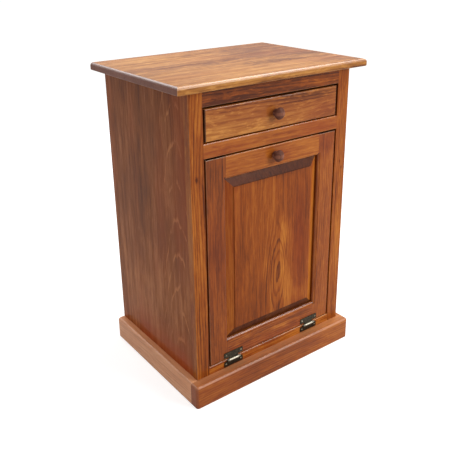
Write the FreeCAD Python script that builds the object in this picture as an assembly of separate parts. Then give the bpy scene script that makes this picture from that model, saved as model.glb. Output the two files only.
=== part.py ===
import FreeCAD, Part
import math
import os

# Tilt-out trash cabinet: a pine case with an inset drawer above a door that tilts out on two surface hinges.
# Millimetres. +Z is up, the front faces -Y, and the origin is the middle of the footprint, on the floor.

# Case
case_width = 495.0
case_depth = 388.0
case_height = 798.0
side_thickness = 19.0
back_thickness = 6.0
floor_thickness = 12.0
floor_rise = 38.0
floor_strip = 19.0

# Face frame
frame_thickness = 19.0
stile_width = 38.0
top_rail_height = 38.0
drawer_opening_height = 83.5
mid_rail_height = 35.0
sill_height = 85.0
bottom_rail_height = 65.0
frame_ease = 1.5
rail_round = 3.0

# Top board and the cleats under it
top_thickness = 19.0
top_side_overhang = 38.0
top_front_overhang = 22.0
top_upper_round = 8.0
top_lower_round = 3.0
cleat_height = 19.0
front_cleat_width = 60.0
rear_cleat_width = 36.0

# Base moulding
base_height = 62.0
base_front_thickness = 28.0
base_side_thickness = 20.0
base_round = 7.0

# Drawer
drawer_side_gap = 5.5
drawer_top_gap = 5.0
drawer_bottom_gap = 3.0
drawer_front_thickness = 19.0
drawer_front_round = 3.0
drawer_side_thickness = 12.0
drawer_side_lower = 5.0
drawer_back_thickness = 12.0
drawer_bottom_thickness = 5.0
drawer_bottom_rise = 10.0
drawer_groove_depth = 6.0
drawer_running_gap = 0.3

# Drawer runners, kickers and stops
runner_ledge_thickness = 12.0
runner_ledge_width = 16.0
runner_guide_height = 22.0
runner_guide_gap = 1.0
stop_block_height = 18.0
stop_tab_thickness = 6.0
stop_tab_width = 40.0
stop_tab_grip = 34.0
stop_tab_catch = 8.0
stop_tab_gap = 2.0

# Door
door_side_gap = 5.0
door_top_gap = 4.5
door_bottom_gap = 2.5
door_thickness = 19.0
door_ease = 1.5
door_stile_width = 56.0
door_top_rail_height = 56.5
door_bottom_rail_height = 58.0
sticking_round = 7.0
sticking_quirk = 1.0
groove_depth = 8.0
groove_clearance = 0.1
panel_tongue = 5.0
panel_tongue_setback = 11.0
panel_bevel_width = 24.0
panel_field_setback = 0.8
panel_field_step = 2.0

# Knobs
knob_reach = 26.0
knob_head_radius = 15.0
knob_neck_radius = 7.0
knob_foot_radius = 9.0
knob_foot_height = 3.0
knob_pilot_depth = 14.0
knob_neck_share = 0.25
knob_shoulder_share = 0.48
knob_rim_share = 0.6
knob_shoulder_taper = 0.9

# Hinges
hinge_inset = 71.5
hinge_leaf_length = 60.0
hinge_leaf_height = 15.0
hinge_leaf_thickness = 1.6
hinge_leaf_round = 1.5
hinge_door_neck = 8.0
hinge_case_neck = 3.5
hinge_axis_drop = 3.4
hinge_barrel_length = 40.0
hinge_barrel_radius = 3.0
hinge_barrel_gap = 0.35
hinge_middle_knuckle = 28.0
hinge_knuckle_gap = 0.3
hinge_pin_radius = 1.5
hinge_pin_head_radius = 2.4
hinge_pin_head = 1.5
hinge_screw_inset = 6.0

# Bin carrier and waste bin
tilt_angle = 30.0
swing_clearance = 6.5
cheek_thickness = 15.0
cheek_inset = 1.5
cheek_lift = 5.0
carrier_depth = 255.0
carrier_shelf = 12.0
rear_rail_thickness = 15.0
rear_rail_height = 60.0
rear_rail_rise = 200.0
batten_size = 19.0
batten_height = 400.0
stop_horn_width = 20.0
stop_horn_root = 40.0
stop_clearance = 5.0
stop_gap = 0.3
bin_gap = 5.0
bin_swing_clearance = 15.0
bin_wall = 2.5
bin_taper = 22.0
bin_corner = 28.0
bin_rim_width = 8.0
bin_rim_height = 6.0

# Catch and strike
catch_width = 44.0
catch_depth = 12.0
catch_drop = 16.5
catch_rise = 18.0
catch_gap = 0.3
strike_width = 36.0
strike_height = 11.0
strike_thickness = 1.2

# Screws: shank radius, head radius, head height; every hole is wider by the hole clearance
wood_screw = (2.0, 4.0, 2.4)
knob_screw = (2.0, 4.2, 2.6)
small_screw = (1.4, 2.4, 1.1)
hole_clearance = 0.05
screw_bite = 12.0
small_screw_bite = 11.0
bite_share = 0.65
top_screw_inset = 78.5
batten_screw_count = 3

# Places worked out from the sizes above
half_width = case_width / 2
side_inner = half_width - side_thickness
opening_half = half_width - stile_width
front_reach = max(base_front_thickness, top_front_overhang, knob_reach)
face_y = (front_reach - case_depth) / 2
back_y = face_y + case_depth
back_inner_y = back_y - back_thickness
frame_back_y = face_y + frame_thickness
drawer_top_z = case_height - top_rail_height
drawer_sill_z = drawer_top_z - drawer_opening_height
mid_rail_z = drawer_sill_z - mid_rail_height
cleat_z = case_height - cleat_height

drawer_half = opening_half - drawer_side_gap
drawer_front_z0 = drawer_sill_z + drawer_bottom_gap
drawer_front_z1 = drawer_top_z - drawer_top_gap
drawer_front_back_y = face_y + drawer_front_thickness
drawer_box_z0 = drawer_sill_z + drawer_running_gap
drawer_box_z1 = drawer_front_z1 - drawer_side_lower
drawer_inner_half = drawer_half - drawer_side_thickness
drawer_back_y = back_inner_y - rear_cleat_width - stop_tab_gap - stop_tab_thickness
drawer_bottom_z = drawer_box_z0 + drawer_bottom_rise
drawer_travel = drawer_back_y - (frame_back_y + front_cleat_width) - stop_gap
guide_inner = drawer_half + runner_guide_gap
ledge_inner = guide_inner - runner_ledge_width

door_half = opening_half - door_side_gap
door_z0 = sill_height + door_bottom_gap
door_z1 = mid_rail_z - door_top_gap
door_back_y = face_y + door_thickness
panel_half = door_half - door_stile_width
panel_z0 = door_z0 + door_bottom_rail_height
panel_z1 = door_z1 - door_top_rail_height
panel_tongue_y = face_y + panel_tongue_setback

axis_y = face_y - hinge_barrel_radius - hinge_barrel_gap
axis_z = sill_height + door_bottom_gap / 2 - hinge_axis_drop
axis_point = FreeCAD.Vector(0, axis_y, axis_z)
swing_radius = mid_rail_z - axis_z - swing_clearance
stop_reach = mid_rail_height - runner_ledge_thickness - stop_clearance

cheek_outer = door_half - cheek_inset
cheek_inner = cheek_outer - cheek_thickness
cheek_z0 = door_z0 + cheek_lift
carrier_back_y = door_back_y + carrier_depth
shelf_top_z = cheek_z0 + carrier_shelf
rear_rail_y = carrier_back_y - rear_rail_thickness
bin_y0 = door_back_y + bin_gap
bin_y1 = rear_rail_y - bin_gap
bin_half = cheek_inner - batten_size - bin_gap
bin_top_z = axis_z + math.sqrt((swing_radius - bin_swing_clearance) ** 2 - (bin_y1 - axis_y) ** 2)

drawer_knob_z = (drawer_front_z0 + drawer_front_z1) / 2
door_knob_z = door_z1 - door_top_rail_height / 2 + sticking_round / 2
strike_y = door_back_y + strike_thickness
catch_face_y = strike_y + catch_gap
catch_back_y = max(frame_back_y, catch_face_y) + catch_depth
strike_z = door_z1 - catch_drop / 2 + door_top_gap / 2

X_AXIS = FreeCAD.Vector(1, 0, 0)
Y_AXIS = FreeCAD.Vector(0, 1, 0)
Z_AXIS = FreeCAD.Vector(0, 0, 1)
SIDES = (("left", -1), ("right", 1))

# How far a cutting tool runs past the piece that it cuts
overcut = 10.0
edge_tolerance = 0.01


def box(x0, x1, y0, y1, z0, z1):
    """A block between two corners, given in either order along X."""
    low_x = min(x0, x1)
    return Part.makeBox(abs(x1 - x0), y1 - y0, z1 - z0, FreeCAD.Vector(low_x, y0, z0))


def edges_along(shape, axis, **limits):
    """The straight edges along an axis whose middle has the coordinates given as x, y or z."""
    found = []
    for edge in shape.Edges:
        direction = edge.valueAt(edge.LastParameter) - edge.valueAt(edge.FirstParameter)
        if abs(abs(direction.dot(axis)) - direction.Length) > edge_tolerance:
            continue
        middle = edge.BoundBox.Center
        if all(abs(getattr(middle, name) - value) < edge_tolerance for name, value in limits.items()):
            found.append(edge)
    return found


def solid_from_outline(outline, direction, length):
    """Extrudes a closed list of edges."""
    face = Part.Face(Part.Wire(outline))
    return face.extrude(direction * length)


def polygon(points):
    """Straight edges through the points and back to the first."""
    closed = points + points[:1]
    return [Part.LineSegment(a, b).toShape() for a, b in zip(closed, closed[1:])]


def screw(seat, direction, sizes, length):
    """A domed screw whose head sits on the seat and whose shank runs along the direction."""
    shank_radius, head_radius, head_height = sizes
    dome_radius = (head_radius ** 2 + head_height ** 2) / (2 * head_height)
    dome_half = math.asin(head_radius / dome_radius) / 2
    dome_drop = dome_radius * (1 - math.cos(dome_half))

    def at(radius, depth):
        return seat + X_AXIS * radius + direction * depth

    top = at(0, -head_height)
    rim = at(head_radius, 0)
    outline = [
        Part.Arc(top, at(dome_radius * math.sin(dome_half), dome_drop - head_height), rim).toShape(),
        Part.LineSegment(rim, at(shank_radius, 0)).toShape(),
        Part.LineSegment(at(shank_radius, 0), at(shank_radius, length)).toShape(),
        Part.LineSegment(at(shank_radius, length), at(0, length)).toShape(),
        Part.LineSegment(at(0, length), top).toShape(),
    ]
    return Part.Face(Part.Wire(outline)).revolve(seat, direction, 360)


def screw_hole(seat, direction, sizes, length):
    """The room that a screw's shank needs."""
    return Part.makeCylinder(sizes[0] + hole_clearance, length + hole_clearance, seat, direction)


def screws_at(seats, direction, sizes, length):
    """Separate screws in one group."""
    return Part.makeCompound([screw(seat, direction, sizes, length) for seat in seats])


def drill(shape, seats, direction, sizes, length):
    """Cuts a screw hole at every seat."""
    for seat in seats:
        shape = shape.cut(screw_hole(seat, direction, sizes, length))
    return shape


def save(name, shape):
    shape.exportStep("parts/%s.step" % name)


# Screw places, shared by the screws and by what they go through
top_screw_x = side_inner - top_screw_inset
top_screw_seats = [
    FreeCAD.Vector(x, y, cleat_z)
    for x in (-top_screw_x, top_screw_x)
    for y in (frame_back_y + front_cleat_width / 2, back_inner_y - rear_cleat_width / 2)
]
top_screw_length = cleat_height + min(screw_bite, top_thickness * bite_share)
hinge_x = door_half - hinge_inset
hinge_centres = (-hinge_x, hinge_x)
hinge_hole_x = hinge_leaf_length / 2 - hinge_screw_inset
hinge_face_y = face_y - hinge_leaf_thickness
hinge_screw_length = hinge_leaf_thickness + small_screw_bite


def hinge_neck(up):
    """How far the door leaf (up = 1) or the case leaf (up = -1) stands from the hinge axis."""
    return hinge_door_neck if up > 0 else hinge_case_neck


def hinge_screw_seats(up):
    """Seats on the door leaves (up = 1) or the case leaves (up = -1)."""
    hole_z = axis_z + up * (hinge_neck(up) + hinge_leaf_height / 2)
    return [
        FreeCAD.Vector(centre + side * hinge_hole_x, hinge_face_y, hole_z)
        for centre in hinge_centres
        for side in (-1, 1)
    ]


knob_screw_length = knob_pilot_depth + drawer_front_thickness
drawer_knob_seat = FreeCAD.Vector(0, drawer_front_back_y, drawer_knob_z)
door_knob_seat = FreeCAD.Vector(0, door_back_y, door_knob_z)
door_knob_screw_length = knob_pilot_depth + door_thickness
batten_screw_length = batten_size + min(screw_bite, door_thickness * bite_share)
batten_pitch = batten_height / batten_screw_count


def batten_screw_seats(side):
    x = side * (cheek_inner - batten_size / 2)
    y = door_back_y + batten_size
    return [
        FreeCAD.Vector(x, y, shelf_top_z + batten_pitch * (step + 0.5))
        for step in range(batten_screw_count)
    ]


catch_screw_x = catch_width / 4
catch_screw_z = mid_rail_z + catch_rise / 2
catch_screw_seats = [FreeCAD.Vector(side * catch_screw_x, catch_back_y, catch_screw_z) for side in (-1, 1)]
catch_screw_length = catch_back_y - frame_back_y + small_screw_bite
strike_screw_x = strike_width / 4
strike_screw_seats = [FreeCAD.Vector(side * strike_screw_x, strike_y, strike_z) for side in (-1, 1)]
tab_screw_z = drawer_box_z1 - stop_tab_grip / 2
tab_screw_seat = FreeCAD.Vector(0, drawer_back_y + stop_tab_thickness, tab_screw_z)
tab_screw_length = stop_tab_thickness + drawer_back_thickness * bite_share


# Case

def top_board():
    x = half_width + top_side_overhang
    front = face_y - top_front_overhang
    z1 = case_height + top_thickness
    board = box(-x, x, front, back_y, case_height, z1)
    upper = edges_along(board, X_AXIS, y=front, z=z1)
    upper += edges_along(board, Y_AXIS, x=-x, z=z1) + edges_along(board, Y_AXIS, x=x, z=z1)
    board = board.makeFillet(top_upper_round, upper)
    lower = edges_along(board, X_AXIS, y=front, z=case_height)
    lower += edges_along(board, Y_AXIS, x=-x, z=case_height) + edges_along(board, Y_AXIS, x=x, z=case_height)
    board = board.makeFillet(top_lower_round, lower)
    return drill(board, top_screw_seats, Z_AXIS, wood_screw, top_screw_length)


def side_panel(side):
    return box(side * side_inner, side * half_width, frame_back_y, back_y, 0, case_height)


def back_panel():
    return box(-side_inner, side_inner, back_inner_y, back_y, 0, case_height)


def floor_panel():
    return box(-side_inner, side_inner, frame_back_y, back_inner_y, floor_rise, floor_rise + floor_thickness)


def floor_strips():
    strips = [
        box(side * (side_inner - floor_strip), side * side_inner,
            frame_back_y, back_inner_y, floor_rise - floor_strip, floor_rise)
        for name, side in SIDES
    ]
    return Part.makeCompound(strips)


def top_cleat(y0, y1):
    cleat = box(-side_inner, side_inner, y0, y1, cleat_z, case_height)
    return drill(cleat, top_screw_seats, Z_AXIS, wood_screw, top_screw_length)


def frame_stile(side):
    stile = box(side * opening_half, side * half_width, face_y, frame_back_y, 0, case_height)
    return stile.makeFillet(frame_ease, edges_along(stile, Z_AXIS, x=side * half_width, y=face_y))


def frame_rail(z0, z1):
    return box(-opening_half, opening_half, face_y, frame_back_y, z0, z1)


def soften(rail, z, radius):
    """Rounds a rail's front edge at a height."""
    return rail.makeFillet(radius, edges_along(rail, X_AXIS, y=face_y, z=z))


def top_rail():
    return soften(frame_rail(drawer_top_z, case_height), drawer_top_z, frame_ease)


def mid_rail():
    rail = soften(frame_rail(mid_rail_z, drawer_sill_z), drawer_sill_z, rail_round)
    rail = soften(rail, mid_rail_z, frame_ease)
    return drill(rail, catch_screw_seats, -Y_AXIS, small_screw, catch_screw_length)


def bottom_rail():
    rail = soften(frame_rail(sill_height - bottom_rail_height, sill_height), sill_height, rail_round)
    return drill(rail, hinge_screw_seats(-1), Y_AXIS, small_screw, hinge_screw_length)


def base_front_board():
    x = half_width + base_side_thickness
    front = face_y - base_front_thickness
    board = box(-x, x, front, face_y, 0, base_height)
    rounded = edges_along(board, X_AXIS, y=front, z=base_height)
    for end in (-x, x):
        rounded += edges_along(board, Y_AXIS, x=end, z=base_height) + edges_along(board, Z_AXIS, x=end, y=front)
    return board.makeFillet(base_round, rounded)


def base_side_board(side):
    outer = side * (half_width + base_side_thickness)
    board = box(side * half_width, outer, face_y, back_y, 0, base_height)
    return board.makeFillet(base_round, edges_along(board, Y_AXIS, x=outer, z=base_height))


# Drawer runners, kickers and stops, fixed to the case

def drawer_runner(side):
    ledge_z = drawer_sill_z - runner_ledge_thickness
    ledge = box(side * ledge_inner, side * side_inner, frame_back_y, back_inner_y, ledge_z, drawer_sill_z)
    guide = box(side * guide_inner, side * side_inner, frame_back_y, back_inner_y,
                drawer_sill_z, drawer_sill_z + runner_guide_height)
    return ledge.fuse(guide).removeSplitter()


def drawer_kicker(side):
    return box(side * ledge_inner, side * side_inner, frame_back_y, back_inner_y, drawer_top_z, cleat_z)


def drawer_stop_blocks():
    blocks = [
        box(side * ledge_inner, side * guide_inner, drawer_back_y + stop_gap, back_inner_y,
            drawer_sill_z, drawer_sill_z + stop_block_height)
        for name, side in SIDES
    ]
    return Part.makeCompound(blocks)


# Drawer

def drawer_bottom_room():
    """The groove that runs round the drawer box for its bottom."""
    x = drawer_inner_half + drawer_groove_depth + groove_clearance
    y0 = drawer_front_back_y - drawer_groove_depth - groove_clearance
    y1 = drawer_back_y - drawer_back_thickness + drawer_groove_depth + groove_clearance
    z0 = drawer_bottom_z - groove_clearance
    z1 = drawer_bottom_z + drawer_bottom_thickness + groove_clearance
    return box(-x, x, y0, y1, z0, z1)


def drawer_front():
    front = box(-drawer_half, drawer_half, face_y, drawer_front_back_y, drawer_front_z0, drawer_front_z1)
    rim = edges_along(front, X_AXIS, y=face_y) + edges_along(front, Z_AXIS, y=face_y)
    front = front.makeFillet(drawer_front_round, rim).cut(drawer_bottom_room())
    return drill(front, [drawer_knob_seat], -Y_AXIS, knob_screw, knob_screw_length)


def drawer_side(side):
    board = box(side * drawer_inner_half, side * drawer_half, drawer_front_back_y, drawer_back_y,
                drawer_box_z0, drawer_box_z1)
    return board.cut(drawer_bottom_room())


def drawer_back():
    board = box(-drawer_inner_half, drawer_inner_half, drawer_back_y - drawer_back_thickness, drawer_back_y,
                drawer_box_z0, drawer_box_z1)
    board = board.cut(drawer_bottom_room())
    return drill(board, [tab_screw_seat], -Y_AXIS, small_screw, tab_screw_length)


def drawer_bottom():
    x = drawer_inner_half + drawer_groove_depth
    y0 = drawer_front_back_y - drawer_groove_depth
    y1 = drawer_back_y - drawer_back_thickness + drawer_groove_depth
    return box(-x, x, y0, y1, drawer_bottom_z, drawer_bottom_z + drawer_bottom_thickness)


def drawer_stop_tab():
    x = stop_tab_width / 2
    tab = box(-x, x, drawer_back_y, drawer_back_y + stop_tab_thickness,
              drawer_box_z1 - stop_tab_grip, cleat_z + stop_tab_catch)
    return drill(tab, [tab_screw_seat], -Y_AXIS, small_screw, tab_screw_length)


# Door

def sticking_tool(half, low, length):
    """The door's opening with its moulded edge, seen along one side and run along the other."""
    edge = half + sticking_round
    arc_y = face_y + sticking_quirk + sticking_round
    lean = sticking_round * math.sqrt(0.5)
    front = face_y - overcut
    rear = door_back_y + overcut
    outline = [
        Part.LineSegment(FreeCAD.Vector(-edge, front, low), FreeCAD.Vector(edge, front, low)).toShape(),
        Part.LineSegment(FreeCAD.Vector(edge, front, low),
                         FreeCAD.Vector(edge, face_y + sticking_quirk, low)).toShape(),
        Part.Arc(FreeCAD.Vector(edge, face_y + sticking_quirk, low),
                 FreeCAD.Vector(edge - lean, arc_y - lean, low),
                 FreeCAD.Vector(half, arc_y, low)).toShape(),
        Part.LineSegment(FreeCAD.Vector(half, arc_y, low), FreeCAD.Vector(half, rear, low)).toShape(),
        Part.LineSegment(FreeCAD.Vector(half, rear, low), FreeCAD.Vector(-half, rear, low)).toShape(),
        Part.LineSegment(FreeCAD.Vector(-half, rear, low), FreeCAD.Vector(-half, arc_y, low)).toShape(),
        Part.Arc(FreeCAD.Vector(-half, arc_y, low),
                 FreeCAD.Vector(-edge + lean, arc_y - lean, low),
                 FreeCAD.Vector(-edge, face_y + sticking_quirk, low)).toShape(),
        Part.LineSegment(FreeCAD.Vector(-edge, face_y + sticking_quirk, low),
                         FreeCAD.Vector(-edge, front, low)).toShape(),
    ]
    return solid_from_outline(outline, Z_AXIS, length)


def panel_room():
    """The groove round the opening that holds the raised panel's tongue."""
    x = panel_half + groove_depth + groove_clearance
    z0 = panel_z0 - groove_depth - groove_clearance
    z1 = panel_z1 + groove_depth + groove_clearance
    y0 = panel_tongue_y - groove_clearance
    return box(-x, x, y0, panel_tongue_y + panel_tongue + groove_clearance, z0, z1)


def door_frame():
    """The whole door frame, with the moulded edge mitred at the corners, before it is parted into its pieces."""
    centre_z = (panel_z0 + panel_z1) / 2
    upright = sticking_tool(panel_half, panel_z0 - sticking_round, panel_z1 - panel_z0 + 2 * sticking_round)
    level = sticking_tool((panel_z1 - panel_z0) / 2, -panel_half - sticking_round,
                          2 * (panel_half + sticking_round))
    level.rotate(FreeCAD.Vector(0, 0, 0), Y_AXIS, 90)
    level.translate(FreeCAD.Vector(0, 0, centre_z))
    frame = box(-door_half, door_half, face_y, door_back_y, door_z0, door_z1)
    frame = frame.makeFillet(door_ease, edges_along(frame, X_AXIS, y=face_y) + edges_along(frame, Z_AXIS, y=face_y))
    frame = frame.cut(upright.common(level)).cut(panel_room())
    frame = drill(frame, hinge_screw_seats(1), Y_AXIS, small_screw, hinge_screw_length)
    frame = drill(frame, [door_knob_seat], -Y_AXIS, knob_screw, door_knob_screw_length)
    for name, side in SIDES:
        frame = drill(frame, batten_screw_seats(side), -Y_AXIS, wood_screw, batten_screw_length)
    return drill(frame, strike_screw_seats, -Y_AXIS, small_screw, small_screw_bite)


def door_stile(frame, side):
    return frame.common(box(side * panel_half, side * door_half, face_y, door_back_y, door_z0, door_z1))


def door_rail(frame, z0, z1):
    return frame.common(box(-panel_half, panel_half, face_y, door_back_y, z0, z1))


def door_panel():
    """A raised panel: a tongue all round, four bevels, a small step and a flat field."""
    x = panel_half + groove_depth
    z0 = panel_z0 - groove_depth
    z1 = panel_z1 + groove_depth
    tongue = box(-x, x, panel_tongue_y, panel_tongue_y + panel_tongue, z0, z1)
    field_x = panel_half - panel_bevel_width
    field_z0 = panel_z0 + panel_bevel_width
    field_z1 = panel_z1 - panel_bevel_width
    field_y = face_y + panel_field_setback
    step_y = field_y + panel_field_step
    outer = Part.Wire(polygon([
        FreeCAD.Vector(-panel_half, panel_tongue_y, panel_z0), FreeCAD.Vector(panel_half, panel_tongue_y, panel_z0),
        FreeCAD.Vector(panel_half, panel_tongue_y, panel_z1), FreeCAD.Vector(-panel_half, panel_tongue_y, panel_z1),
    ]))
    inner = Part.Wire(polygon([
        FreeCAD.Vector(-field_x, step_y, field_z0), FreeCAD.Vector(field_x, step_y, field_z0),
        FreeCAD.Vector(field_x, step_y, field_z1), FreeCAD.Vector(-field_x, step_y, field_z1),
    ]))
    bevels = Part.makeLoft([outer, inner], True, True)
    field = box(-field_x, field_x, field_y, panel_tongue_y, field_z0, field_z1)
    return tongue.fuse(bevels).fuse(field).removeSplitter()


# Knobs

def knob(seat_y, z):
    """A turned mushroom knob standing on a face, with a pilot hole for its screw."""
    pilot = knob_screw[0] + hole_clearance
    neck_z = knob_foot_height + (knob_reach - knob_foot_height) * knob_neck_share
    rim_z = knob_reach * knob_rim_share
    shoulder_z = knob_reach * knob_shoulder_share
    crown = knob_reach - rim_z
    crown_radius = (knob_head_radius ** 2 + crown ** 2) / (2 * crown)
    crown_half = math.asin(knob_head_radius / crown_radius) / 2

    def at(radius, height):
        return FreeCAD.Vector(radius, seat_y - height, z)

    middle = at(crown_radius * math.sin(crown_half), knob_reach - crown_radius * (1 - math.cos(crown_half)))
    foot_top = at(knob_foot_radius, knob_foot_height)
    neck = at(knob_neck_radius, neck_z)
    shoulder = at(knob_head_radius * knob_shoulder_taper, shoulder_z)
    rim = at(knob_head_radius, rim_z)
    outline = [
        Part.LineSegment(at(pilot, 0), at(knob_foot_radius, 0)).toShape(),
        Part.LineSegment(at(knob_foot_radius, 0), foot_top).toShape(),
        Part.Arc(foot_top, neck, shoulder).toShape(),
        Part.LineSegment(shoulder, rim).toShape(),
        Part.Arc(rim, middle, at(0, knob_reach)).toShape(),
        Part.LineSegment(at(0, knob_reach), at(0, knob_pilot_depth + hole_clearance)).toShape(),
        Part.LineSegment(at(0, knob_pilot_depth + hole_clearance), at(pilot, knob_pilot_depth + hole_clearance)).toShape(),
        Part.LineSegment(at(pilot, knob_pilot_depth + hole_clearance), at(pilot, 0)).toShape(),
    ]
    face = Part.Face(Part.Wire(outline))
    return face.revolve(FreeCAD.Vector(0, seat_y, z), Y_AXIS, 360)


# Hinges

def hinge_knuckles(up):
    """Where a leaf's knuckles start and end along the barrel: the door has the middle one, the case the outer two."""
    inner = hinge_middle_knuckle / 2
    outer = hinge_barrel_length / 2
    if up > 0:
        return [(-inner, inner)]
    return [(-outer, -inner - hinge_knuckle_gap), (inner + hinge_knuckle_gap, outer)]


def hinge_leaf(centre, up):
    """A flat leaf, and necks that carry its knuckles just clear of the face behind them."""
    z0 = axis_z + up * hinge_neck(up)
    z1 = z0 + up * hinge_leaf_height
    x = hinge_leaf_length / 2
    leaf = box(centre - x, centre + x, hinge_face_y, face_y, min(z0, z1), max(z0, z1))
    leaf = leaf.makeFillet(hinge_leaf_round, edges_along(leaf, Y_AXIS))
    for x0, x1 in hinge_knuckles(up):
        neck = box(centre + x0, centre + x1, hinge_face_y, face_y - hinge_barrel_gap,
                   min(axis_z, z0), max(axis_z, z0))
        barrel = Part.makeCylinder(hinge_barrel_radius, x1 - x0,
                                   FreeCAD.Vector(centre + x0, axis_y, axis_z), X_AXIS)
        leaf = leaf.fuse(neck).fuse(barrel)
    bore = Part.makeCylinder(hinge_pin_radius + hole_clearance, hinge_barrel_length + 2 * overcut,
                             FreeCAD.Vector(centre - hinge_barrel_length / 2 - overcut, axis_y, axis_z), X_AXIS)
    leaf = leaf.cut(bore).removeSplitter()
    return drill(leaf, hinge_screw_seats(up), Y_AXIS, small_screw, hinge_screw_length)


def hinge_pin(centre):
    """A pin with a small head at each end of the barrel."""
    half = hinge_barrel_length / 2
    reach = half + hole_clearance + hinge_pin_head
    start = FreeCAD.Vector(centre - reach, axis_y, axis_z)
    pin = Part.makeCylinder(hinge_pin_radius, 2 * reach, start, X_AXIS)
    for side in (0, 1):
        head_x = centre - reach + side * (2 * reach - hinge_pin_head)
        head = Part.makeCylinder(hinge_pin_head_radius, hinge_pin_head,
                                 FreeCAD.Vector(head_x, axis_y, axis_z), X_AXIS)
        pin = pin.fuse(head)
    return pin.removeSplitter()


# Bin carrier and bin

def cheek(side):
    """A side of the bin carrier, with its top edge round the hinge axis and a horn that stops the tilt."""
    horn_y0 = frame_back_y + stop_gap
    horn_y1 = horn_y0 + stop_horn_width
    x0 = side * cheek_inner
    x1 = side * cheek_outer
    horn_z1 = mid_rail_z + stop_reach
    horn = box(x0, x1, horn_y0, horn_y1, axis_z + swing_radius - stop_horn_root, horn_z1)
    horn.rotate(axis_point, X_AXIS, -tilt_angle)

    rear_angle = math.acos((horn_y1 - axis_y) / swing_radius) - math.radians(tilt_angle)
    front_angle = math.acos((door_back_y - axis_y) / swing_radius)
    low_x = min(x0, x1)

    def on_swing(angle):
        return FreeCAD.Vector(low_x, axis_y + swing_radius * math.cos(angle), axis_z + swing_radius * math.sin(angle))

    front_low = FreeCAD.Vector(low_x, door_back_y, cheek_z0)
    rear_low = FreeCAD.Vector(low_x, carrier_back_y, cheek_z0)
    rear_high = on_swing(rear_angle)
    front_high = on_swing(front_angle)
    outline = [
        Part.LineSegment(front_low, rear_low).toShape(),
        Part.LineSegment(rear_low, rear_high).toShape(),
        Part.Arc(rear_high, on_swing((rear_angle + front_angle) / 2), front_high).toShape(),
        Part.LineSegment(front_high, front_low).toShape(),
    ]
    plate = solid_from_outline(outline, X_AXIS, cheek_thickness)
    return plate.fuse(horn).removeSplitter()


def carrier_shelf_board():
    return box(-cheek_inner, cheek_inner, door_back_y, carrier_back_y, cheek_z0, shelf_top_z)


def carrier_rear_rail():
    z0 = shelf_top_z + rear_rail_rise
    return box(-cheek_inner, cheek_inner, rear_rail_y, carrier_back_y, z0, z0 + rear_rail_height)


def cheek_batten(side):
    batten = box(side * (cheek_inner - batten_size), side * cheek_inner, door_back_y, door_back_y + batten_size,
                 shelf_top_z, shelf_top_z + batten_height)
    return drill(batten, batten_screw_seats(side), -Y_AXIS, wood_screw, batten_screw_length)


def round_rectangle(half_x, y0, y1, z, radius):
    """A level wire with four rounded corners."""
    lean = radius * (1 - math.sqrt(0.5))
    edges = []
    corners = [(half_x, y0, -1, 1), (half_x, y1, -1, -1), (-half_x, y1, 1, -1), (-half_x, y0, 1, 1)]
    starts = []
    ends = []
    for index, (x, y, to_x, to_y) in enumerate(corners):
        along_x = FreeCAD.Vector(x + to_x * radius, y, z)
        along_y = FreeCAD.Vector(x, y + to_y * radius, z)
        middle = FreeCAD.Vector(x + to_x * lean, y + to_y * lean, z)
        first, last = (along_x, along_y) if index % 2 == 0 else (along_y, along_x)
        edges.append(Part.Arc(first, middle, last).toShape())
        starts.append(first)
        ends.append(last)
    for end, start in zip(ends, starts[1:] + starts[:1]):
        edges.append(Part.LineSegment(end, start).toShape())
    return Part.Wire(Part.__sortEdges__(edges))


def bin_shell(inset, z0, z1):
    """A tapered tub, smaller by the inset all round."""
    low_inset = bin_rim_width + bin_taper + inset
    high_inset = bin_rim_width + inset
    low = round_rectangle(bin_half - low_inset, bin_y0 + low_inset, bin_y1 - low_inset, z0, bin_corner - inset)
    high = round_rectangle(bin_half - high_inset, bin_y0 + high_inset, bin_y1 - high_inset, z1, bin_corner - inset)
    return Part.makeLoft([low, high], True, True)


def waste_bin():
    tub = bin_shell(0, shelf_top_z, bin_top_z)
    rim_z = bin_top_z - bin_rim_height
    rim = Part.Face(round_rectangle(bin_half, bin_y0, bin_y1, rim_z, bin_corner)).extrude(Z_AXIS * bin_rim_height)
    room = bin_shell(bin_wall, shelf_top_z + bin_wall, bin_top_z)
    mouth = bin_rim_width + bin_wall
    lip = Part.Face(round_rectangle(bin_half - mouth, bin_y0 + mouth, bin_y1 - mouth, bin_top_z, bin_corner - bin_wall))
    return tub.fuse(rim).cut(room).cut(lip.extrude(Z_AXIS * overcut)).removeSplitter()


# Catch and strike

def magnetic_catch():
    x = catch_width / 2
    body = box(-x, x, frame_back_y, catch_back_y, mid_rail_z, mid_rail_z + catch_rise)
    pole = box(-x, x, catch_face_y, catch_back_y, mid_rail_z - catch_drop, mid_rail_z)
    catch = body.fuse(pole).removeSplitter()
    return drill(catch, catch_screw_seats, -Y_AXIS, small_screw, catch_screw_length)


def strike_plate():
    x = strike_width / 2
    plate = box(-x, x, door_back_y, strike_y, strike_z - strike_height / 2, strike_z + strike_height / 2)
    for seat in strike_screw_seats:
        head_room = Part.makeCylinder(small_screw[1] + hole_clearance, strike_thickness, seat, -Y_AXIS)
        plate = plate.cut(head_room)
    return plate


def strike_screws():
    """Flush screws whose heads fill the strike's holes."""
    pieces = []
    for seat in strike_screw_seats:
        head = Part.makeCylinder(small_screw[1], strike_thickness, seat, -Y_AXIS)
        shank = Part.makeCylinder(small_screw[0], small_screw_bite, seat, -Y_AXIS)
        pieces.append(head.fuse(shank).removeSplitter())
    return Part.makeCompound(pieces)


os.makedirs("parts", exist_ok=True)

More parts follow.
